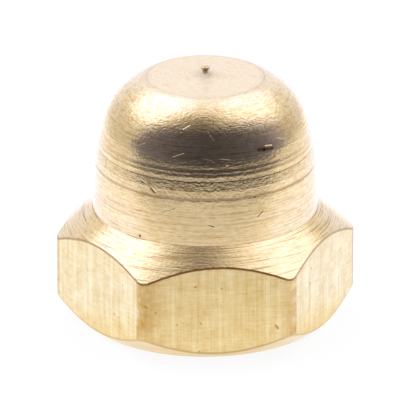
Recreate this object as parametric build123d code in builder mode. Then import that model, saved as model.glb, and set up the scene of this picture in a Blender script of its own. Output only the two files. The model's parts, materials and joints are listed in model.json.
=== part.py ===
"""Closed cap nut, turned from drawn hexagon brass bar, with a blind thread under a domed crown."""

import os
from math import asin, degrees, radians, sqrt, tan

from build123d import *

# Drawn hexagon bar
across_flats = 14.0
bar_corner_radius = 0.7

# Thread hole: drilled blind, so that the thread's crests lie on its wall
thread_minor_diameter = 8.566
drill_point_angle = 118.0
mouth_chamfer = 0.7

# Hexagon: a cone is turned on its corners at each end, and the upper cone runs in to the dome's foot
hexagon_height = 6.07
base_chamfer_inset = 0.335
base_chamfer_angle = 41.0
top_chamfer_angle = 41.0

# Dome: its wall leaves the hexagon upright, bows inwards and rolls over a rounder shoulder to the crown
dome_wall = 1.755
dome_height = 7.28
dome_bow_radius = 20.6
shoulder_height = 2.73

# Crown: a shallow cone cut by the parting tool, with the torn nib of the bar left at its middle
crown_face_diameter = 6.23
crown_rise = 0.33
crown_thickness = 1.9
nib_neck_diameter = 0.22
nib_head_diameter = 0.48
nib_neck_height = 0.1
nib_head_height = 0.16

thread_hole_radius = thread_minor_diameter / 2
dome_foot_radius = thread_hole_radius + dome_wall
crown_edge_height = hexagon_height + dome_height
nib_foot_height = crown_edge_height + crown_rise
nib_brim_height = nib_foot_height + nib_neck_height
overall_height = nib_brim_height + nib_head_height

# Both cones run out to the sharp corners that the bar would have without its rounding
sharp_corner_radius = across_flats / sqrt(3)
base_face_radius = across_flats / 2 - base_chamfer_inset
base_corner_height = (sharp_corner_radius - base_face_radius) * tan(radians(base_chamfer_angle))
top_corner_drop = (sharp_corner_radius - dome_foot_radius) * tan(radians(top_chamfer_angle))
dome_bow_angle = degrees(asin((dome_height - shoulder_height) / dome_bow_radius))

drill_tip_height = crown_edge_height - crown_thickness
drill_point_height = thread_hole_radius / tan(radians(drill_point_angle / 2))
thread_hole_depth = drill_tip_height - drill_point_height

with BuildPart() as cap_nut:
    # Length of bar with two corners on the X axis, so that a flat faces each way along Y
    with BuildSketch() as bar_section:
        RegularPolygon(radius=across_flats / 2, side_count=6, major_radius=False)
        fillet(bar_section.vertices(), radius=bar_corner_radius)
    extrude(amount=overall_height)

    # Outline that the lathe leaves, from the base face up to the nib
    with BuildSketch(Plane.XZ) as turned_section:
        with BuildLine() as turned_outline:
            Polyline(
                (0, 0),
                (base_face_radius, 0),
                (sharp_corner_radius, base_corner_height),
                (sharp_corner_radius, hexagon_height - top_corner_drop),
                (dome_foot_radius, hexagon_height),
            )
            wall = JernArc((dome_foot_radius, hexagon_height), (0, 1), dome_bow_radius, dome_bow_angle)
            shoulder = TangentArc(wall @ 1, (crown_face_diameter / 2, crown_edge_height), tangent=wall % 1)
            Polyline(
                shoulder @ 1,
                (nib_neck_diameter / 2, nib_foot_height),
                (nib_head_diameter / 2, nib_brim_height),
                (nib_neck_diameter / 2, overall_height),
                (0, overall_height),
                (0, 0),
            )
        make_face()
    revolve(axis=Axis.Z, mode=Mode.INTERSECT)

    # Blind hole, with the drill's cone at its end
    with BuildSketch(Plane.XZ) as hole_section:
        with BuildLine() as hole_outline:
            Polyline(
                (0, 0),
                (thread_hole_radius, 0),
                (thread_hole_radius, thread_hole_depth),
                (0, drill_tip_height),
                close=True,
            )
        make_face()
    revolve(axis=Axis.Z, mode=Mode.SUBTRACT)

    # Countersunk mouth, where the mating thread starts
    base_circles = cap_nut.edges().filter_by(GeomType.CIRCLE).group_by(Axis.Z)[0]
    chamfer(base_circles.sort_by(SortBy.RADIUS)[0], length=mouth_chamfer)

cap_nut.part.label = "cap_nut"

os.makedirs("parts", exist_ok=True)
export_step(cap_nut.part, "parts/cap_nut.step")
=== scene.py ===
import json
from math import asin, atan2, cos, pi, radians, sin, sqrt, tan

import bpy
import numpy as np
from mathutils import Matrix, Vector


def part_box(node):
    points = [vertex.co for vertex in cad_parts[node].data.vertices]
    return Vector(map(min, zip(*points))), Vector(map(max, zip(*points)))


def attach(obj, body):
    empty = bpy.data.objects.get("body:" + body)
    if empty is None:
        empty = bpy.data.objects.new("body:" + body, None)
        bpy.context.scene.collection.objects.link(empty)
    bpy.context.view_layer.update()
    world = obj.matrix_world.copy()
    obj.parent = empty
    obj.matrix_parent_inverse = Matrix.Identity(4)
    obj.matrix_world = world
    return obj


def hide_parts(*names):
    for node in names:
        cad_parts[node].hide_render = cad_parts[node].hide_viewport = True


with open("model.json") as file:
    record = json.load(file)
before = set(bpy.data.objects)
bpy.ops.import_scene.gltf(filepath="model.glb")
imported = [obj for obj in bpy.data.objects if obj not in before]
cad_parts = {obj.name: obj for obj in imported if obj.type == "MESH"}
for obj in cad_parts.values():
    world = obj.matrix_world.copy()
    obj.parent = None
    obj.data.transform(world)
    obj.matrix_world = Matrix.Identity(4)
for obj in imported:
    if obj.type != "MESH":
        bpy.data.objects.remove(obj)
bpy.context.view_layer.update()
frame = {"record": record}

# Cap nut: one piece of free-cutting brass, turned from drawn hexagon bar. It was drilled and tapped
# from the base end, the dome and both bevels were turned, and it was parted off at the crown, which
# left a torn nib there. The six flats keep the drawn skin of the bar. Its sizes are in millimetres.
MM = 0.001
nut_low, nut_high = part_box("cap_nut")
thread_mount = next(m for m in frame["record"]["mounts"] if m["name"] == "thread")
across_flats = (nut_high[1] - nut_low[1]) / MM
overall_height = nut_high[2] / MM
bar_corner_radius = 0.7
hexagon_height = 6.07
base_face_radius = 6.665
bevel_slope = tan(radians(41))
dome_foot_radius = 6.038
dome_bow_radius = 20.6
shoulder_height = 2.73
crown_edge_radius = 3.115
crown_edge_height = 13.35
hole_radius = thread_mount["dims"]["r_mm"]
hole_mouth_chamfer = 0.7
hole_mouth_radius = hole_radius + hole_mouth_chamfer
hole_depth = 8.877
drill_tip_height = 11.45

# Round the bar: points on each rounded corner, then along the flat after it, from the corner on +X. Oil
# has browned the corners of the flats, and the dark line along their edges is painted shade. On every
# other flat the oil runs on from both corners in a dark strip, and from one of them in a faint wash.
corner_steps = 8
flat_steps = 40
flat_end_share = 0.006
flat_shares = [0, flat_end_share, *np.linspace(0, 1, flat_steps, endpoint=False)[1:], 1 - flat_end_share]
corner_centre = (across_flats / 2 - bar_corner_radius) / cos(pi / 6)
flat_half = (across_flats / 2 - bar_corner_radius) * tan(pi / 6)
strip_spread = 0.5
wash_spread = 2.0
section, skin_soil, edge_painted_shade = [], [], []
for side in range(6):
    stained = side % 2 == 0
    corner = side * pi / 3
    facing = corner + pi / 6
    for turn in np.linspace(-pi / 6, pi / 6, corner_steps, endpoint=False):
        section.append((corner_centre * cos(corner) + bar_corner_radius * cos(corner + turn),
                        corner_centre * sin(corner) + bar_corner_radius * sin(corner + turn)))
        share = turn * 3 / pi + 0.5
        skin_soil.append(1 - 0.3 * share if stained else 0.3 + 0.7 * share)
        edge_painted_shade.append(0.7)
    for along in flat_half * (2 * np.array(flat_shares) - 1):
        section.append((across_flats / 2 * cos(facing) - along * sin(facing),
                        across_flats / 2 * sin(facing) + along * cos(facing)))
        from_corner = flat_half - abs(along)
        strip = (0.5 - 0.15 * np.sign(along)) * np.exp(-from_corner / strip_spread)
        wash = 0.05 * (1 - np.sign(along)) * np.exp(-from_corner / wash_spread)
        skin_soil.append(strip + wash if stained else float(along == -flat_half))
        edge_painted_shade.append(0.88 if stained else 0.6)
section = np.array(section)
skin_soil = 0.5 * np.array(skin_soil)
edge_painted_shade = np.array(edge_painted_shade)
bar_angle = np.arctan2(section[:, 1], section[:, 0])
bar_radius = np.hypot(section[:, 0], section[:, 1])
steps = np.linalg.norm(np.roll(section, -1, axis=0) - section, axis=1)
girth = np.concatenate([[0], np.cumsum(steps)])
columns = len(section)

# Rows of the surface, from the drill's tip out of the hole, over the base and up to the nib. Each has its
# radius and height at every column, how far the tool had travelled, and how strong each mark is there.
DRAWN, TURNED, TAPPED = range(3)
MARKS = ("travel", "lines", "grain", "scratches", "matt_and_highlight", "soil_and_shade")
rows = []


def add_row(radius, height, finish, travel, crease=False,
            lines=0.0, grain=0.0, scratches=0.0, matt_and_highlight=0.0, soil_and_shade=0.0):
    """One ring of the surface, with the finish of the faces below it. Values may differ by column."""
    values = {"radius": radius, "height": height, "travel": travel, "lines": lines, "grain": grain,
              "scratches": scratches, "matt_and_highlight": matt_and_highlight, "soil_and_shade": soil_and_shade}
    row = {name: np.broadcast_to(value, columns) for name, value in values.items()}
    row.update(finish=finish, crease=crease)
    rows.append(row)


# The hole: the cone that the drill left, then a right-hand pipe thread, whose rounded turns are close
# to a sine wave. The tap's tapered lead fades the thread out at the blind end, and a countersink cuts
# it off at the mouth.
thread_pitch = 25.4 / 28
thread_depth = 0.581
thread_lead = 1.8
rows_per_turn = 12
drill_cone_rows = 7
drill_tip_share = 0.04
for share in np.linspace(drill_tip_share, 1, drill_cone_rows):
    radius = hole_radius * share
    height = drill_tip_height + (hole_depth - drill_tip_height) * share
    add_row(radius, height, TAPPED, radius, crease=share == 1)
thread_rows = int(hole_depth / thread_pitch * rows_per_turn)
for height in np.linspace(hole_depth, 0, thread_rows + 1)[1:]:
    fade = min(1, (hole_depth - height) / thread_lead)
    wave = (1 - np.cos(2 * pi * height / thread_pitch - bar_angle)) / 2
    thread = hole_radius + thread_depth * fade * wave
    add_row(np.maximum(thread, hole_mouth_radius - height), height, TAPPED, height, crease=height == 0)

# The base face, faced off on the lathe, and the bevel that takes the corners off
base_rows = 6
lower_bevel_rows = 8
edge_land = 0.09
land_slope = tan(radians(15))
land_drop = edge_land * (1 - land_slope * bevel_slope)
bevel_outer = bar_radius - edge_land * land_slope
for radius in np.linspace(hole_mouth_radius, base_face_radius, base_rows + 1)[1:]:
    add_row(radius, 0, TURNED, radius, crease=radius == base_face_radius, lines=0.8, grain=0.3, scratches=0.3)
# The bevel's outer edge is darkened with painted shade.
for share in np.linspace(0, 1, lower_bevel_rows + 1)[1:]:
    radius = base_face_radius + (bevel_outer - base_face_radius) * share
    add_row(radius, (radius - base_face_radius) * bevel_slope, TURNED, radius, crease=share == 1,
            lines=0.5, grain=0.2, soil_and_shade=0.35 * edge_painted_shade * (share == 1))

# The flats, drawn with the bar, between the narrow lands that the tool rolled over at their edges
flat_rows = 10
flat_rim = 0.05
flat_low = (bar_radius - base_face_radius) * bevel_slope + land_drop
flat_high = hexagon_height - (bar_radius - dome_foot_radius) * bevel_slope - land_drop
# The flats' lower and upper edges are darkened with painted shade.
add_row(bar_radius, flat_low, TURNED, flat_low, crease=True, soil_and_shade=0.5 * edge_painted_shade)
add_row(bar_radius, flat_low + flat_rim, DRAWN, flat_low, soil_and_shade=skin_soil)
for share in np.linspace(0, 1, flat_rows + 1)[1:-1]:
    height = flat_low + (flat_high - flat_low) * share
    add_row(bar_radius, height, DRAWN, height, soil_and_shade=skin_soil)
add_row(bar_radius, flat_high - flat_rim, DRAWN, flat_high, soil_and_shade=skin_soil)
add_row(bar_radius, flat_high, DRAWN, flat_high, crease=True, soil_and_shade=edge_painted_shade)

# The upper bevel, a cone that runs in to the foot of the dome, with the tool's lines plain to see
upper_bevel_rows = 12
rim_share = 0.02
# The bevel's outer edge is darkened with painted shade.
for share in [0, rim_share, *np.linspace(0, 1, upper_bevel_rows + 1)[1:-1], 1 - rim_share, 1]:
    radius = bevel_outer + (dome_foot_radius - bevel_outer) * share
    height = hexagon_height - (radius - dome_foot_radius) * bevel_slope
    travel = hexagon_height - (radius - dome_foot_radius) * sqrt(1 + bevel_slope**2)
    add_row(radius, height, TURNED, travel, crease=share in (0, 1), lines=0.75, grain=0.5, scratches=0.2,
            soil_and_shade=edge_painted_shade * (share == 0) + 0.5 * (share == 1))

# Rings on the dome's wall, where the form tool chattered: height, how proud the metal stands, and soil.
# Between two of the rings the tool tore the metal.
rings = np.array([
    (6.07, 0.0, 0.5), (6.10, 0.0, 0.05), (6.50, 0.0, 0.0), (6.55, -0.002, 0.15), (6.60, 0.0, 0.0),
    (7.18, 0.0, 0.0), (7.24, -0.003, 0.25), (7.30, 0.0, 0.0), (7.62, 0.0, 0.0), (7.67, -0.002, 0.15),
    (7.72, 0.0, 0.0), (8.52, 0.0, 0.0), (8.60, -0.003, 0.4), (8.66, -0.003, 0.5), (8.72, -0.001, 0.1),
    (8.80, -0.002, 0.0), (9.03, 0.003, 0.0), (9.07, 0.003, 0.25), (9.12, 0.002, 0.08), (9.50, -0.005, 0.08),
    (9.56, -0.006, 0.15), (9.60, -0.006, 0.35), (9.64, -0.006, 0.0), (9.82, 0.002, 0.0), (9.87, 0.002, 0.25),
    (10.00, -0.002, 0.1), (10.06, 0.001, 0.0), (10.10, 0.001, 0.2), (10.19, -0.004, 0.1),
    (10.23, -0.005, 0.3), (10.27, -0.005, 0.1), (10.39, 0.001, 0.1), (10.62, 0.0, 0.0),
])
torn_low, torn_high = 9.06, 9.60

# The dome: a wall that bows inwards from an upright foot, and a rounder shoulder tangent to it. The plain
# rows of the wall stay clear of the rings' own rows.
wall_steps = 55
ring_room = 0.02
shoulder_steps = 30
wall_top = crown_edge_height - shoulder_height
bow_angle = asin((wall_top - hexagon_height) / dome_bow_radius)
wall_centre = dome_foot_radius - dome_bow_radius
plain_heights = np.linspace(hexagon_height, wall_top, wall_steps + 1)
wall_heights = [height for height in plain_heights if abs(rings[:, 0] - height).min() > ring_room]
dome_start = len(rows)
for height in sorted([*wall_heights, *rings[1:, 0]]):
    turn = asin((height - hexagon_height) / dome_bow_radius)
    proud = np.interp(height, rings[:, 0], rings[:, 1])
    torn = torn_low < height < torn_high
    add_row(wall_centre + (dome_bow_radius + proud) * cos(turn), height + proud * sin(turn),
            TURNED, hexagon_height + dome_bow_radius * turn,
            lines=np.interp(height, (8.2, 8.8, 10.2, 10.4), (0.4, 0.25, 0.25, 0.5)),
            grain=1.3 if torn else np.interp(height, (8.0, 8.8, 10.4), (0.55, 0.8, 0.6)),
            scratches=np.interp(height, (9.6, 10.5), (0.35, 0.6)),
            soil_and_shade=np.interp(height, rings[:, 0], rings[:, 2]))
wall_end = Vector((wall_centre + dome_bow_radius * cos(bow_angle), wall_top))
wall_normal = Vector((cos(bow_angle), sin(bow_angle)))
chord = Vector((crown_edge_radius, crown_edge_height)) - wall_end
shoulder_radius = -chord.length_squared / (2 * chord.dot(wall_normal))
shoulder_centre = wall_end - wall_normal * shoulder_radius
shoulder_stop = atan2(crown_edge_height - shoulder_centre.y, crown_edge_radius - shoulder_centre.x)
shoulder_travel = hexagon_height + dome_bow_radius * bow_angle
soiled_turn = 0.08
for turn in np.linspace(bow_angle, shoulder_stop, shoulder_steps + 1)[1:]:
    add_row(shoulder_centre.x + shoulder_radius * cos(turn), shoulder_centre.y + shoulder_radius * sin(turn),
            TURNED, shoulder_travel + shoulder_radius * (turn - bow_angle), crease=turn == shoulder_stop,
            lines=np.interp(turn, (0.45, 0.7), (0.5, 0.25)),
            grain=np.interp(turn, (0.35, 0.65), (0.65, 1.1)),
            scratches=np.interp(turn, (0.25, 0.4, 0.6, 0.8), (0.6, 1.2, 1.2, 0.5)),
            matt_and_highlight=np.interp(turn, (0.9, shoulder_stop), (0.0, 0.8)),
            soil_and_shade=np.interp(turn, (shoulder_stop - soiled_turn, shoulder_stop), (0.0, 0.22)))

# The crown: a shallow, matt cone from the parting tool, drawn up in a curve to the thin neck of the torn
# nib, whose head is a bowl with a rounded top. The tool's travel starts afresh on both.
crown_rows = 24
crown_rim_share = 0.02
crown_soil_share = 0.07
crown_rise = 0.1
crown_travel = 30.0
nib_steps = 6
nib_foot_rise = 0.27
nib_foot_spread = 0.4
nib_neck_radius = 0.1
nib_head_radius = 0.24
nib_top_round = 0.05
nib_bowl_travel = 31.0
nib_top_travel = 33.0
nib_neck_height = crown_edge_height + crown_rise + nib_foot_rise
nib_rim_height = overall_height - nib_top_round
crown_slope = crown_rise / (crown_edge_radius - nib_neck_radius)
for share in [crown_rim_share, *np.linspace(0, 1, crown_rows + 1)[1:]]:
    radius = crown_edge_radius + (nib_neck_radius - crown_edge_radius) * share
    drawn_up = nib_foot_rise * np.exp((nib_neck_radius - radius) / nib_foot_spread)
    height = crown_edge_height + (crown_edge_radius - radius) * crown_slope + drawn_up
    add_row(radius, height, TURNED, crown_travel - radius, lines=0.08, scratches=0.25,
            grain=np.interp(radius, (0.6, 1.4), (2.0, 0.7)),
            matt_and_highlight=np.interp(radius, (0.5, 1.2), (2.6, 1.6)),
            soil_and_shade=0.08 * max(0, 1 - share / crown_soil_share))
# The bowl under the nib's head is browned with painted shade.
for turn in np.linspace(0, pi / 2, nib_steps + 1)[1:]:
    radius = nib_neck_radius + (nib_head_radius - nib_neck_radius) * sin(turn)
    height = nib_neck_height + (nib_rim_height - nib_neck_height) * (1 - cos(turn))
    add_row(radius, height, TURNED, nib_bowl_travel + turn, grain=0.5, soil_and_shade=0.3)
for turn in np.linspace(0, pi / 2, nib_steps + 1)[1:-1]:
    radius = nib_head_radius * cos(turn)
    add_row(radius, nib_rim_height + nib_top_round * sin(turn), TURNED, nib_top_travel, grain=0.6, soil_and_shade=0.1)

# One closed mesh of the rows, with a single point at the drill's tip and at the middle of the nib
radii = np.array([row["radius"] for row in rows])
heights = np.array([row["height"] for row in rows])
points = np.stack([radii * np.cos(bar_angle), radii * np.sin(bar_angle), heights], axis=-1).reshape(-1, 3)
points = np.concatenate([points, [(0, 0, drill_tip_height), (0, 0, overall_height)]]) * MM
drill_tip, nib_top = len(points) - 2, len(points) - 1
last = (len(rows) - 1) * columns
faces, finishes, face_girth = [], [], []
for column in range(columns):
    beside = (column + 1) % columns
    faces.append((drill_tip, beside, column))
    finishes.append(TAPPED)
    face_girth.extend((girth[column], girth[column + 1], girth[column]))
    for below in range(len(rows) - 1):
        first, second = below * columns, (below + 1) * columns
        faces.append((first + column, first + beside, second + beside, second + column))
        finishes.append(rows[below + 1]["finish"])
        face_girth.extend((girth[column], girth[column + 1], girth[column + 1], girth[column]))
    faces.append((last + column, last + beside, nib_top))
    finishes.append(TURNED)
    face_girth.extend((girth[column], girth[column + 1], girth[column]))
nut_mesh = bpy.data.meshes.new("turned_cap_nut")
nut_mesh.from_pydata(points.tolist(), [], faces)
nut_mesh.polygons.foreach_set("material_index", finishes)
nut_mesh.shade_smooth()
row_of = np.arange(len(points)) // columns
creased = np.array([row["crease"] for row in rows] + [False])
ends = np.array([edge.vertices[:] for edge in nut_mesh.edges])
along_row = row_of[ends[:, 0]] == row_of[ends[:, 1]]
sharp = nut_mesh.attributes.new("sharp_edge", "BOOLEAN", "EDGE")
sharp.data.foreach_set("value", along_row & creased[row_of[ends[:, 0]]])
for name in MARKS:
    mark = nut_mesh.attributes.new(name, "FLOAT", "POINT")
    values = np.array([row[name] for row in rows])
    mark.data.foreach_set("value", np.concatenate([values.ravel(), values[0, :1], values[-1, :1]]))
around = nut_mesh.attributes.new("girth", "FLOAT", "CORNER")
around.data.foreach_set("value", face_girth)
nut = bpy.data.objects.new("turned_cap_nut", nut_mesh)
bpy.context.scene.collection.objects.link(nut)


def linear(hex_code):
    """An sRGB hex colour as linear red, green, blue and alpha."""
    channels = [int(hex_code[i:i + 2], 16) / 255 for i in (1, 3, 5)]
    return [c / 12.92 if c <= 0.04045 else ((c + 0.055) / 1.055) ** 2.4 for c in channels] + [1.0]


def add_node(tree, kind, inputs=None, output=0, **settings):
    """Add one node with settings, and a value or a link on each input. Gives one output, or all of them."""
    node = tree.nodes.new(kind)
    for name, value in settings.items():
        setattr(node, name, value)
    for socket, value in (inputs or {}).items():
        if isinstance(value, bpy.types.NodeSocket):
            tree.links.new(value, node.inputs[socket])
        else:
            node.inputs[socket].default_value = value
    return node.outputs if output is None else node.outputs[output]


def new_brass(name):
    """An empty brass material with its tree, and the place on the nut in millimetres."""
    material = bpy.data.materials.new(name)
    material.use_nodes = True
    tree = material.node_tree
    tree.nodes.clear()
    place = add_node(tree, "ShaderNodeTexCoord", output="Object")
    in_mm = add_node(tree, "ShaderNodeVectorMath", {0: place, "Scale": 1 / MM}, operation="SCALE")
    return material, tree, in_mm


def hairlines(tree, place, spacing, width):
    """Hairline scratches, one to a cell, each running its own way: 1 in the scratch and 0 off it."""
    cells = add_node(tree, "ShaderNodeTexVoronoi", {"Vector": place, "Scale": 1 / spacing}, output=None)
    off = add_node(tree, "ShaderNodeVectorMath", {0: place, 1: cells["Position"]}, operation="SUBTRACT")
    way = add_node(tree, "ShaderNodeVectorMath", {0: cells["Color"], 1: (0.5, 0.5, 0.5)},
                   operation="SUBTRACT")
    way = add_node(tree, "ShaderNodeVectorMath", {0: way}, operation="NORMALIZE")
    off = add_node(tree, "ShaderNodeVectorMath", {0: off, 1: way}, output="Value", operation="DOT_PRODUCT")
    off = add_node(tree, "ShaderNodeMath", {0: off}, operation="ABSOLUTE")
    line = add_node(tree, "ShaderNodeMapRange",
                    {"Value": off, "From Max": width, "To Min": 1.0, "To Max": 0.0})
    reach = add_node(tree, "ShaderNodeMapRange",
                     {"Value": cells["Distance"], "From Min": 0.3, "From Max": 0.5,
                      "To Min": 1.0, "To Max": 0.0})
    return add_node(tree, "ShaderNodeMath", {0: line, 1: reach}, operation="MULTIPLY")


def knocks(tree, place, strokes):
    """Dents and scratches, each a stroke from one point to another: how deep and how dirty the skin is."""
    deep, dirty = 0.0, 0.0
    for start, end, half_width, depth, dirt in strokes:
        reach = end - start
        off = add_node(tree, "ShaderNodeVectorMath", {0: place, 1: start}, operation="SUBTRACT")
        along = add_node(tree, "ShaderNodeVectorMath", {0: off, 1: reach / reach.length_squared},
                         output="Value", operation="DOT_PRODUCT")
        along = add_node(tree, "ShaderNodeMapRange", {"Value": along})
        nearest = add_node(tree, "ShaderNodeVectorMath", {0: reach, "Scale": along}, operation="SCALE")
        gap = add_node(tree, "ShaderNodeVectorMath", {0: off, 1: nearest},
                       output="Value", operation="DISTANCE")
        pit = add_node(tree, "ShaderNodeMapRange",
                       {"Value": gap, "From Max": half_width, "To Min": 1.0, "To Max": 0.0},
                       interpolation_type="SMOOTHSTEP")
        deep = add_node(tree, "ShaderNodeMath", {0: pit, 1: depth, 2: deep}, operation="MULTIPLY_ADD")
        dirty = add_node(tree, "ShaderNodeMath", {0: pit, 1: dirt, 2: dirty}, operation="MULTIPLY_ADD")
    return deep, dirty


def on_dome(bearing, height):
    """Point on the dome's outside, with the bearing in degrees to the right of the front flat's middle."""
    radius = np.interp(height, heights[dome_start:, 0], radii[dome_start:, 0])
    return Vector((radius * sin(radians(bearing)), -radius * cos(radians(bearing)), height))


def on_flat(facing, across, height):
    """Point on the front flat (facing -1) or the back one (facing 1)."""
    return Vector((across, facing * across_flats / 2, height))


# Knocks on the dome, from lying in the bin with others: both ends, half width, depth and dirt
dome_knocks = [
    (on_dome(26.0, 11.02), on_dome(29.5, 10.97), 0.18, 0.004, 0.85),
    (on_dome(29.5, 10.97), on_dome(35.5, 10.92), 0.15, 0.006, 0.85),
    (on_dome(31.0, 11.12), on_dome(35.5, 11.07), 0.04, 0.012, 0.0),
    (on_dome(-23.3, 10.83), on_dome(-17.2, 11.06), 0.03, 0.008, 0.0),
    (on_dome(-34.7, 9.05), on_dome(-32.2, 8.84), 0.08, 0.02, 0.45),
    (on_dome(-41.2, 9.31), on_dome(-38.5, 9.2), 0.06, 0.02, 0.3),
    (on_dome(22.3, 7.51), on_dome(25.6, 7.76), 0.05, 0.012, 0.25),
    (on_dome(-27.7, 7.82), on_dome(-20.8, 8.14), 0.03, 0.008, 0.1),
    (on_dome(-3.3, 7.28), on_dome(-0.8, 7.19), 0.05, 0.01, 0.3),
    (on_dome(-19.5, 12.19), on_dome(-15.3, 12.38), 0.04, 0.012, 0.0),
    (on_dome(6.6, 10.39), on_dome(7.4, 10.4), 0.06, 0.02, 0.0),
    (on_dome(20.6, 8.62), on_dome(21.4, 8.63), 0.06, 0.02, 0.0),
    (on_dome(-40.2, 6.25), on_dome(-39.9, 6.24), 0.1, 0.02, 0.9),
    (on_dome(112, 9.9), on_dome(121, 9.6), 0.06, 0.012, 0.3),
    (on_dome(158, 7.4), on_dome(162, 7.9), 0.05, 0.012, 0.3),
    (on_dome(-140, 11.3), on_dome(-131, 11.5), 0.04, 0.012, 0.0),
    (on_dome(-118, 8.1), on_dome(-113, 7.9), 0.06, 0.012, 0.3),
]

# Turned brass, as the tool left it: a bright metal whose grooves run round the axis and break up into
# streaks and dashes, a little torn and crumpled, with hairline scratches from handling and brown oil in
# the grooves. The pitches were set as coarse as it takes for the marks to show.
groove_pitch, groove_run = 0.07, 2.5
band_pitch, band_run = 0.3, 20 / 3
dash_pitch, dash_run, dash_weight = 0.08, 0.4, 0.35
bright_roughness, matt_roughness = 0.14, 0.22
crumple_size = 1 / 7
stain_size = 1 / 3
scratch_spacing, scratch_width = 1.1, 0.025
groove_depth, grain_depth, scratch_depth = 0.006, 0.016, 0.005
turned, tree, in_mm = new_brass("turned_brass")
marks = {name: add_node(tree, "ShaderNodeAttribute", output="Fac", attribute_name=name) for name in MARKS}
axes = add_node(tree, "ShaderNodeSeparateXYZ", {0: in_mm}, output=None)
lathe = add_node(tree, "ShaderNodeCombineXYZ", {0: axes[0], 1: axes[1], 2: marks["travel"]})
groove_scale = (1 / groove_run, 1 / groove_run, 1 / groove_pitch)
groove_place = add_node(tree, "ShaderNodeVectorMath", {0: lathe, 1: groove_scale}, operation="MULTIPLY")
grooves = add_node(tree, "ShaderNodeTexNoise",
                   {"Vector": groove_place, "Scale": 1.0, "Detail": 3.0, "Roughness": 0.6})
band_scale = (1 / band_run, 1 / band_run, 1 / band_pitch)
band_place = add_node(tree, "ShaderNodeVectorMath", {0: lathe, 1: band_scale}, operation="MULTIPLY")
bands = add_node(tree, "ShaderNodeTexNoise", {"Vector": band_place, "Scale": 1.0, "Detail": 2.0})
dash_scale = (1 / dash_run, 1 / dash_run, 1 / dash_pitch)
dash_place = add_node(tree, "ShaderNodeVectorMath", {0: lathe, 1: dash_scale}, operation="MULTIPLY")
dashes = add_node(tree, "ShaderNodeTexNoise", {"Vector": dash_place, "Scale": 1.0, "Detail": 2.0})
crumple = add_node(tree, "ShaderNodeTexNoise",
                   {"Vector": in_mm, "Scale": 1 / crumple_size, "Detail": 3.0, "Roughness": 0.6})
stain = add_node(tree, "ShaderNodeTexNoise",
                 {"Vector": in_mm, "Scale": 1 / stain_size, "Detail": 4.0, "Roughness": 0.75})
scratch = hairlines(tree, in_mm, scratch_spacing, scratch_width)
lines_height = add_node(tree, "ShaderNodeMath", {0: grooves, 1: bands}, operation="ADD")
lines_height = add_node(tree, "ShaderNodeMath", {0: lines_height, 1: marks["lines"]}, operation="MULTIPLY")
grain_height = add_node(tree, "ShaderNodeMath", {0: dashes, 1: dash_weight, 2: crumple},
                        operation="MULTIPLY_ADD")
grain_height = add_node(tree, "ShaderNodeMath", {0: grain_height, 1: marks["grain"]}, operation="MULTIPLY")
scratch_height = add_node(tree, "ShaderNodeMath", {0: scratch, 1: marks["scratches"]}, operation="MULTIPLY")
relief = add_node(tree, "ShaderNodeMath", {0: lines_height, 1: groove_depth}, operation="MULTIPLY")
relief = add_node(tree, "ShaderNodeMath", {0: grain_height, 1: grain_depth, 2: relief},
                  operation="MULTIPLY_ADD")
relief = add_node(tree, "ShaderNodeMath", {0: scratch_height, 1: -scratch_depth, 2: relief},
                  operation="MULTIPLY_ADD")
deep, dirty = knocks(tree, in_mm, dome_knocks)
relief = add_node(tree, "ShaderNodeMath", {0: relief, 1: deep}, operation="SUBTRACT")
bump = add_node(tree, "ShaderNodeBump", {"Height": relief, "Strength": 1.0, "Distance": MM})
groove_tone = add_node(tree, "ShaderNodeMix", {0: marks["lines"], 2: 0.5, 3: grooves})
dash_tone = add_node(tree, "ShaderNodeMix", {0: marks["grain"], 2: 0.5, 3: dashes})
stain_tone = add_node(tree, "ShaderNodeMix", {0: marks["grain"], 2: 0.5, 3: stain})
tone = add_node(tree, "ShaderNodeMath", {0: groove_tone, 1: dash_tone}, operation="ADD")
tone = add_node(tree, "ShaderNodeMath", {0: tone, 1: stain_tone}, operation="ADD")
tone = add_node(tree, "ShaderNodeMapRange", {"Value": tone, "From Min": 1.25, "From Max": 1.6})
colour = add_node(tree, "ShaderNodeMix", {0: tone, 6: linear("#DDB67C"), 7: linear("#F3DAAA")},
                  output=2, data_type="RGBA")
# The matt crown and the end of the shoulder are painted paler, a painted highlight on the top of the nut.
painted_highlight = add_node(tree, "ShaderNodeMix", {0: tone, 6: linear("#EFD5AC"), 7: linear("#F7E6CB")},
                output=2, data_type="RGBA")
colour = add_node(tree, "ShaderNodeMix", {0: marks["matt_and_highlight"], 6: colour, 7: painted_highlight}, output=2, data_type="RGBA")
oil = add_node(tree, "ShaderNodeMapRange",
               {"Value": grooves, "From Min": 0.45, "From Max": 0.36, "To Max": 0.6})
soil_and_shade = add_node(tree, "ShaderNodeMath", {0: oil, 1: marks["lines"], 2: marks["soil_and_shade"]},
                operation="MULTIPLY_ADD")
soil_and_shade = add_node(tree, "ShaderNodeMath", {0: soil_and_shade, 1: dirty}, operation="ADD", use_clamp=True)
# Brown for oil and dirt, and painted shade along the bevels' edges and under the nib's head.
colour = add_node(tree, "ShaderNodeMix", {0: soil_and_shade, 6: colour, 7: linear("#7A5026")},
                  output=2, data_type="RGBA")
rough = add_node(tree, "ShaderNodeMath", {0: marks["matt_and_highlight"], 1: matt_roughness, 2: bright_roughness},
                 operation="MULTIPLY_ADD")
metal = add_node(tree, "ShaderNodeBsdfPrincipled",
                 {"Metallic": 1.0, "Base Color": colour, "Roughness": rough, "Normal": bump})
add_node(tree, "ShaderNodeOutputMaterial", {"Surface": metal}, output=None)

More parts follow.
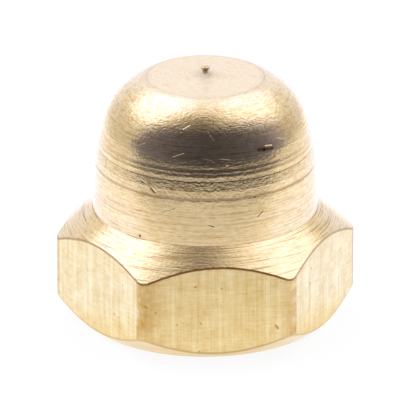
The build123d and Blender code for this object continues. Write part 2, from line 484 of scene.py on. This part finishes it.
# Knocks on the front and back flats, from spanners and the bin: both ends, half width, depth and dirt
flat_knocks = [
    (on_flat(-1, -3.85, 3.2), on_flat(-1, -3.72, 3.1), 0.13, 0.012, 0.65),
    (on_flat(-1, 3.12, 1.8), on_flat(-1, 3.22, 1.68), 0.13, 0.012, 0.65),
    (on_flat(1, 1.6, 2.9), on_flat(1, 1.8, 2.8), 0.1, 0.01, 0.65),
    (on_flat(1, -2.4, 1.6), on_flat(1, -2.3, 1.8), 0.1, 0.01, 0.65),
]

# Drawn brass, as the bar came from the die: a satin metal with fine lines along the bar and a fainter
# weave across it, mottled, with a few specks. Oil has dried to ochre on it, and the brown at the edges is
# painted shade.
# Single die lines are too fine to show, so they are drawn in bundles, as wide as it takes.
die_pitch, die_run, die_depth = 0.3, 12.5, 0.003
weave_pitch, weave_run, weave_weight = 0.13, 0.9, 0.45
mottle_size = 10 / 9
speck_spacing = 0.7
skin_roughness = 0.3
drawn, tree, in_mm = new_brass("drawn_brass")
axes = add_node(tree, "ShaderNodeSeparateXYZ", {0: in_mm}, output=None)
across = add_node(tree, "ShaderNodeAttribute", output="Fac", attribute_name="girth")
soil_and_shade = add_node(tree, "ShaderNodeAttribute", output="Fac", attribute_name="soil_and_shade")
skin = add_node(tree, "ShaderNodeCombineXYZ", {0: across, 1: axes[2]})
die_scale = (1 / die_pitch, 1 / die_run, 1)
die_place = add_node(tree, "ShaderNodeVectorMath", {0: skin, 1: die_scale}, operation="MULTIPLY")
die_lines = add_node(tree, "ShaderNodeTexNoise",
                     {"Vector": die_place, "Scale": 1.0, "Detail": 4.0, "Roughness": 0.85})
weave_scale = (1 / weave_run, 1 / weave_pitch, 1)
weave_place = add_node(tree, "ShaderNodeVectorMath", {0: skin, 1: weave_scale}, operation="MULTIPLY")
weave = add_node(tree, "ShaderNodeTexNoise",
                 {"Vector": weave_place, "Scale": 1.0, "Detail": 3.0, "Roughness": 0.6})
mottle = add_node(tree, "ShaderNodeTexNoise",
                  {"Vector": skin, "Scale": 1 / mottle_size, "Detail": 6.0, "Roughness": 0.8})
streak = add_node(tree, "ShaderNodeMath", {0: weave, 1: weave_weight, 2: die_lines},
                  operation="MULTIPLY_ADD")
streak = add_node(tree, "ShaderNodeMath", {0: mottle, 1: streak}, operation="ADD")
patchy = add_node(tree, "ShaderNodeMapRange",
                  {"Value": mottle, "From Min": 0.35, "From Max": 0.65, "To Min": 1.3, "To Max": 0.4})
soil_and_shade = add_node(tree, "ShaderNodeMath", {0: soil_and_shade, 1: patchy}, operation="MULTIPLY")
cells = add_node(tree, "ShaderNodeTexVoronoi", {"Vector": skin, "Scale": 1 / speck_spacing}, output=None)
speck = add_node(tree, "ShaderNodeMapRange",
                 {"Value": cells["Distance"], "From Min": 0.03, "From Max": 0.13,
                  "To Min": 0.75, "To Max": 0.0})
rare = add_node(tree, "ShaderNodeMapRange", {"Value": cells["Color"], "From Min": 0.4, "From Max": 0.6})
speck = add_node(tree, "ShaderNodeMath", {0: speck, 1: rare}, operation="MULTIPLY")
soil_and_shade = add_node(tree, "ShaderNodeMath", {0: soil_and_shade, 1: speck}, operation="MAXIMUM")
deep, dirty = knocks(tree, in_mm, flat_knocks)
soil_and_shade = add_node(tree, "ShaderNodeMath", {0: soil_and_shade, 1: dirty}, operation="MAXIMUM")
tone = add_node(tree, "ShaderNodeMapRange", {"Value": streak, "From Min": 0.9, "From Max": 1.49})
colour = add_node(tree, "ShaderNodeMix", {0: tone, 6: linear("#D9B369"), 7: linear("#F9E5B2")},
                  output=2, data_type="RGBA")
ochre = add_node(tree, "ShaderNodeMapRange", {"Value": soil_and_shade, "From Max": 0.75})
colour = add_node(tree, "ShaderNodeMix", {0: ochre, 6: colour, 7: linear("#BA8628")},
                  output=2, data_type="RGBA")
# Brown where the soil is heaviest: dirt in knocks and specks, and painted shade along the flats' edges.
brown_dirt_and_edge_shade = add_node(tree, "ShaderNodeMapRange", {"Value": soil_and_shade, "From Min": 0.6})
colour = add_node(tree, "ShaderNodeMix", {0: brown_dirt_and_edge_shade, 6: colour, 7: linear("#5E3C12")},
                  output=2, data_type="RGBA")
relief = add_node(tree, "ShaderNodeMath", {0: streak, 1: die_depth}, operation="MULTIPLY")
relief = add_node(tree, "ShaderNodeMath", {0: relief, 1: deep}, operation="SUBTRACT")
bump = add_node(tree, "ShaderNodeBump", {"Height": relief, "Strength": 1.0, "Distance": MM})
metal = add_node(tree, "ShaderNodeBsdfPrincipled",
                 {"Metallic": 1.0, "Base Color": colour, "Roughness": skin_roughness, "Normal": bump})
add_node(tree, "ShaderNodeOutputMaterial", {"Surface": metal}, output=None)

# Tapped brass, in the hole: the thread and the drilled end, cut clean and kept from handling, so it is a
# satin metal with only a fine grain from the tap
grain_size = 1 / 7
tap_depth = 0.004
tapped_roughness = 0.3
tapped, tree, in_mm = new_brass("tapped_brass")
grain = add_node(tree, "ShaderNodeTexNoise", {"Vector": in_mm, "Scale": 1 / grain_size, "Detail": 3.0})
colour = add_node(tree, "ShaderNodeMix", {0: grain, 6: linear("#DDB97F"), 7: linear("#F0D6A4")},
                  output=2, data_type="RGBA")
bump = add_node(tree, "ShaderNodeBump", {"Height": grain, "Strength": 1.0, "Distance": tap_depth * MM})
metal = add_node(tree, "ShaderNodeBsdfPrincipled",
                 {"Metallic": 1.0, "Base Color": colour, "Roughness": tapped_roughness, "Normal": bump})
add_node(tree, "ShaderNodeOutputMaterial", {"Surface": metal}, output=None)

for material in (drawn, turned, tapped):
    nut_mesh.materials.append(material)
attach(nut, "root")
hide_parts("cap_nut")

# Camera: a long lens, just under half a metre away. It looks down on the nut, a little to the left of
# square-on to a flat.
camera_turn = radians(-5.1265)
camera_tilt = radians(22.318)
camera_distance = 450.0
aim_sideways = -0.2837
aim_height = 6.2466
sensor_width = 36.0
focal_pixels = 8414.1
frame_pixels = 400
right = Vector((cos(camera_turn), sin(camera_turn), 0))
towards_camera = Vector((sin(camera_turn), -cos(camera_turn), 0))
up = Vector((0, 0, 1))
back = towards_camera * cos(camera_tilt) + up * sin(camera_tilt)
aim = right * aim_sideways + up * aim_height
camera_data = bpy.data.cameras.new("camera")
camera_data.sensor_width = sensor_width
camera_data.lens = sensor_width * focal_pixels / frame_pixels
camera_data.clip_start = 0.01
camera = bpy.data.objects.new("camera", camera_data)
camera.location = (aim + back * camera_distance) * MM
camera.rotation_euler = back.to_track_quat("Z", "Y").to_euler()
bpy.context.scene.collection.objects.link(camera)
bpy.context.scene.camera = camera

# Table: a matt white board that ends 130 mm in front of the nut, lit through so that the camera sees it
# white. The metal sees its glow with painted shade in front and to the sides, a painted shadow of the nut
# under the bevel, cool painted light beside the nut and a warm painted reflection of the brass close to it.
# It still takes a faint shadow.
table_reach = 300.0
table_front = 130.0
table_gap = 0.02
table_glow = 0.9
plain_white = (1, 1, 1, 1)
corners = [right * x + towards_camera * y - up * table_gap for x, y in
           ((-table_reach, table_front), (table_reach, table_front),
            (table_reach, -table_reach), (-table_reach, -table_reach))]
table_mesh = bpy.data.meshes.new("table")
table_mesh.from_pydata([corner * MM for corner in corners], [], [(0, 1, 2, 3)])
table = bpy.data.objects.new("table", table_mesh)
bpy.context.scene.collection.objects.link(table)
board = bpy.data.materials.new("white_board")
board.use_nodes = True
tree = board.node_tree
tree.nodes.clear()
ray = add_node(tree, "ShaderNodeLightPath", output=None)
glossy = add_node(tree, "ShaderNodeMath", {0: ray["Is Glossy Ray"], 1: ray["Is Transmission Ray"]},
                  operation="MAXIMUM")
seen = add_node(tree, "ShaderNodeMath", {0: ray["Is Camera Ray"], 1: glossy}, operation="MAXIMUM")
place = add_node(tree, "ShaderNodeTexCoord", output="Object")
in_mm = add_node(tree, "ShaderNodeVectorMath", {0: place, "Scale": 1 / MM}, operation="SCALE")
spread = add_node(tree, "ShaderNodeVectorMath", {0: in_mm}, output="Value", operation="LENGTH")
forward = add_node(tree, "ShaderNodeVectorMath", {0: in_mm, 1: towards_camera},
                   output="Value", operation="DOT_PRODUCT")
sideways = add_node(tree, "ShaderNodeVectorMath", {0: in_mm, 1: right},
                    output="Value", operation="DOT_PRODUCT")
sideways = add_node(tree, "ShaderNodeMath", {0: sideways}, operation="ABSOLUTE")
before = add_node(tree, "ShaderNodeMath", {0: sideways, 1: -0.15, 2: forward}, operation="MULTIPLY_ADD")
# Painted shade on the glow that the metal sees: darker in front and to the sides, with a painted shadow of
# the nut round its base.
front_painted_shade = add_node(tree, "ShaderNodeMapRange",
                      {"Value": before, "From Min": 4.0, "From Max": 24.0, "To Min": 1.13, "To Max": 0.66})
side_painted_shade = add_node(tree, "ShaderNodeMapRange",
                     {"Value": sideways, "From Min": 30.0, "From Max": 95.0, "To Max": -0.4})
painted_contact_shadow = add_node(tree, "ShaderNodeMapRange",
                      {"Value": spread, "From Min": 6.7, "From Max": 9.0, "To Min": 0.86, "To Max": 1.0})
painted_shading = add_node(tree, "ShaderNodeMath", {0: front_painted_shade, 1: side_painted_shade}, operation="ADD")
painted_shading = add_node(tree, "ShaderNodeMath", {0: painted_shading, 1: painted_contact_shadow}, operation="MULTIPLY")
shine = add_node(tree, "ShaderNodeMix", {0: ray["Is Camera Ray"], 2: painted_shading, 3: table_glow})
shine = add_node(tree, "ShaderNodeMath", {0: shine, 1: seen}, operation="MULTIPLY")
# A cool painted light on the glow beside the nut, and a warm painted reflection of the brass close to it.
cool = add_node(tree, "ShaderNodeMapRange", {"Value": painted_shading, "From Min": 0.95, "From Max": 1.1})
clear = add_node(tree, "ShaderNodeMapRange", {"Value": spread, "From Min": 6.5, "From Max": 9.5})
cool = add_node(tree, "ShaderNodeMath", {0: cool, 1: clear}, operation="MULTIPLY")
flank = add_node(tree, "ShaderNodeMapRange", {"Value": sideways, "From Min": 5.0, "From Max": 10.0})
cool = add_node(tree, "ShaderNodeMath", {0: cool, 1: flank}, operation="MULTIPLY")
far = add_node(tree, "ShaderNodeMapRange",
               {"Value": spread, "From Min": 12.0, "From Max": 40.0, "To Min": 1.0, "To Max": 0.5})
cool = add_node(tree, "ShaderNodeMath", {0: cool, 1: far}, operation="MULTIPLY")
hue = add_node(tree, "ShaderNodeMix", {0: cool, 6: plain_white, 7: (0.95, 1.06, 1.44, 1)},
               output=2, data_type="RGBA")
hue = add_node(tree, "ShaderNodeMix", {0: clear, 6: (1.0, 0.99, 0.92, 1), 7: hue}, output=2, data_type="RGBA")
hue = add_node(tree, "ShaderNodeMix", {0: glossy, 6: plain_white, 7: hue}, output=2, data_type="RGBA")
glow = add_node(tree, "ShaderNodeEmission", {"Strength": shine, "Color": hue})
white = add_node(tree, "ShaderNodeMix", {0: seen, 6: (0.85, 0.85, 0.85, 1), 7: (0.16, 0.16, 0.16, 1)},
                 output=2, data_type="RGBA")
matt_white = add_node(tree, "ShaderNodeBsdfDiffuse", {"Color": white})
both = add_node(tree, "ShaderNodeAddShader", {0: matt_white, 1: glow})
add_node(tree, "ShaderNodeOutputMaterial", {"Surface": both}, output=None)
table_mesh.materials.append(board)

# Light tent: white cloth all round and overhead, dimmer low down except at the rear, with a soft box on
# each side, the right one weaker. It is open at the front for the camera, with a dim flap above that
# opening, whose right edge hangs softer. The metal sees it, and the camera sees plain white.
flap_turn, flap_half_width = radians(-10), radians(75)
flap_dim, flap_gain = 0.22, 0.85
opening_turn, opening_half_width, opening_height = radians(6), radians(92), radians(58)
room_dim, room_gain = 0.073, 0.17
soft_box_way = (0.521, -0.301, 0.799)
world = bpy.data.worlds.new("light_tent")
bpy.context.scene.world = world
world.use_nodes = True
tree = world.node_tree
tree.nodes.clear()
sight = add_node(tree, "ShaderNodeTexCoord", output="Generated")
ahead = add_node(tree, "ShaderNodeVectorMath", {0: sight, 1: towards_camera},
                 output="Value", operation="DOT_PRODUCT")
beside = add_node(tree, "ShaderNodeVectorMath", {0: sight, 1: right}, output="Value", operation="DOT_PRODUCT")
above = add_node(tree, "ShaderNodeVectorMath", {0: sight, 1: up}, output="Value", operation="DOT_PRODUCT")
bearing = add_node(tree, "ShaderNodeMath", {0: beside, 1: ahead}, operation="ARCTAN2")
climb = add_node(tree, "ShaderNodeMath", {0: above}, operation="ARCSINE")

# The cloth and its two soft boxes
low = add_node(tree, "ShaderNodeMapRange",
               {"Value": ahead, "From Min": -0.5, "From Max": -0.95, "To Min": 0.74, "To Max": 1.07})
low_right = add_node(tree, "ShaderNodeMapRange",
                     {"Value": beside, "From Min": 0.3, "To Min": 1.0, "To Max": 0.9})
low = add_node(tree, "ShaderNodeMath", {0: low, 1: low_right}, operation="MULTIPLY")
high = add_node(tree, "ShaderNodeMapRange",
                {"Value": climb, "From Min": radians(10), "From Max": radians(42)},
                interpolation_type="SMOOTHSTEP")
cloth = add_node(tree, "ShaderNodeMix", {0: high, 2: low, 3: 1.1})
mirrored = add_node(tree, "ShaderNodeMath", {0: beside}, operation="ABSOLUTE")
mirrored = add_node(tree, "ShaderNodeCombineXYZ", {0: mirrored, 1: ahead, 2: above})
soft_box = add_node(tree, "ShaderNodeVectorMath", {0: mirrored, 1: soft_box_way},
                    output="Value", operation="DOT_PRODUCT")
soft_box = add_node(tree, "ShaderNodeMapRange",
                    {"Value": soft_box, "From Min": 0.89, "From Max": 0.955, "To Max": 0.75},
                    interpolation_type="SMOOTHSTEP")
box_right = add_node(tree, "ShaderNodeMapRange",
                     {"Value": beside, "From Max": 0.4, "To Min": 1.0, "To Max": 0.6})
cloth = add_node(tree, "ShaderNodeMath", {0: soft_box, 1: box_right, 2: cloth}, operation="MULTIPLY_ADD")

# The flap, dimmest in its middle
flap = add_node(tree, "ShaderNodeMath", {0: bearing, 1: flap_turn}, operation="SUBTRACT")
flap = add_node(tree, "ShaderNodeMath", {0: flap, 1: flap_half_width}, operation="DIVIDE")
flap = add_node(tree, "ShaderNodeMath", {0: flap, 1: flap}, operation="MULTIPLY")
flap = add_node(tree, "ShaderNodeMath", {0: flap, 1: flap_gain, 2: flap_dim}, operation="MULTIPLY_ADD")
flap = add_node(tree, "ShaderNodeMath", {0: flap, 1: cloth}, operation="MINIMUM")
front = add_node(tree, "ShaderNodeMapRange", {"Value": ahead, "From Max": 0.28},
                 interpolation_type="SMOOTHSTEP")
tent = add_node(tree, "ShaderNodeMix", {0: front, 2: cloth, 3: flap})

# The arched opening, with the dim room behind it
side = add_node(tree, "ShaderNodeMath", {0: bearing, 1: opening_turn}, operation="SUBTRACT")
side = add_node(tree, "ShaderNodeMath", {0: side, 1: opening_half_width}, operation="DIVIDE")
side = add_node(tree, "ShaderNodeMath", {0: side, 1: side}, operation="MULTIPLY")
wide = add_node(tree, "ShaderNodeMath", {0: side, 1: 1.5}, operation="POWER")
tall = add_node(tree, "ShaderNodeMath", {0: climb, 1: opening_height}, operation="DIVIDE")
tall = add_node(tree, "ShaderNodeMath", {0: tall, 1: 0.0}, operation="MAXIMUM")
tall = add_node(tree, "ShaderNodeMath", {0: tall, 1: 3.0}, operation="POWER")
arch = add_node(tree, "ShaderNodeMath", {0: wide, 1: tall}, operation="ADD")
drape = add_node(tree, "ShaderNodeMapRange",
                 {"Value": beside, "From Min": 0.2, "From Max": 0.9, "To Max": 0.4})
edge_start = add_node(tree, "ShaderNodeMath", {0: 0.72, 1: drape}, operation="SUBTRACT")
edge_stop = add_node(tree, "ShaderNodeMath", {0: 1.35, 1: drape}, operation="ADD")
arch = add_node(tree, "ShaderNodeMapRange", {"Value": arch, "From Min": edge_start, "From Max": edge_stop},
                interpolation_type="SMOOTHSTEP")
room = add_node(tree, "ShaderNodeMath", {0: side, 1: room_gain, 2: room_dim}, operation="MULTIPLY_ADD")
tent = add_node(tree, "ShaderNodeMix", {0: arch, 2: room, 3: tent})

# Its hues: cool where it is brightest and low at the rear, warm where the cloth is dim, cold in the room
cool = add_node(tree, "ShaderNodeMapRange", {"Value": tent, "From Min": 1.05, "From Max": 1.7})
hue = add_node(tree, "ShaderNodeMix", {0: cool, 6: plain_white, 7: (0.93, 1.04, 1.4, 1)},
               output=2, data_type="RGBA")
rear = add_node(tree, "ShaderNodeMapRange", {"Value": ahead, "From Min": -0.5, "From Max": -0.9})
rear = add_node(tree, "ShaderNodeMix", {0: high, 2: rear, 3: 0.0})
hue = add_node(tree, "ShaderNodeMix", {0: rear, 6: hue, 7: (0.98, 1.03, 1.22, 1)}, output=2, data_type="RGBA")
dim = add_node(tree, "ShaderNodeMapRange", {"Value": tent, "From Min": 0.3, "From Max": 0.85})
hue = add_node(tree, "ShaderNodeMix", {0: dim, 6: (1.06, 0.98, 0.95, 1), 7: hue}, output=2, data_type="RGBA")
hue = add_node(tree, "ShaderNodeMix", {0: arch, 6: (1.0, 1.02, 1.5, 1), 7: hue}, output=2, data_type="RGBA")
camera_ray = add_node(tree, "ShaderNodeLightPath", output="Is Camera Ray")
hue = add_node(tree, "ShaderNodeMix", {0: camera_ray, 6: hue, 7: plain_white}, output=2, data_type="RGBA")
strength = add_node(tree, "ShaderNodeMix", {0: camera_ray, 2: tent, 3: 1.0})
backdrop = add_node(tree, "ShaderNodeBackground", {"Strength": strength, "Color": hue})
add_node(tree, "ShaderNodeOutputWorld", {"Surface": backdrop}, output=None)

bpy.context.scene.view_settings.view_transform = "Standard"
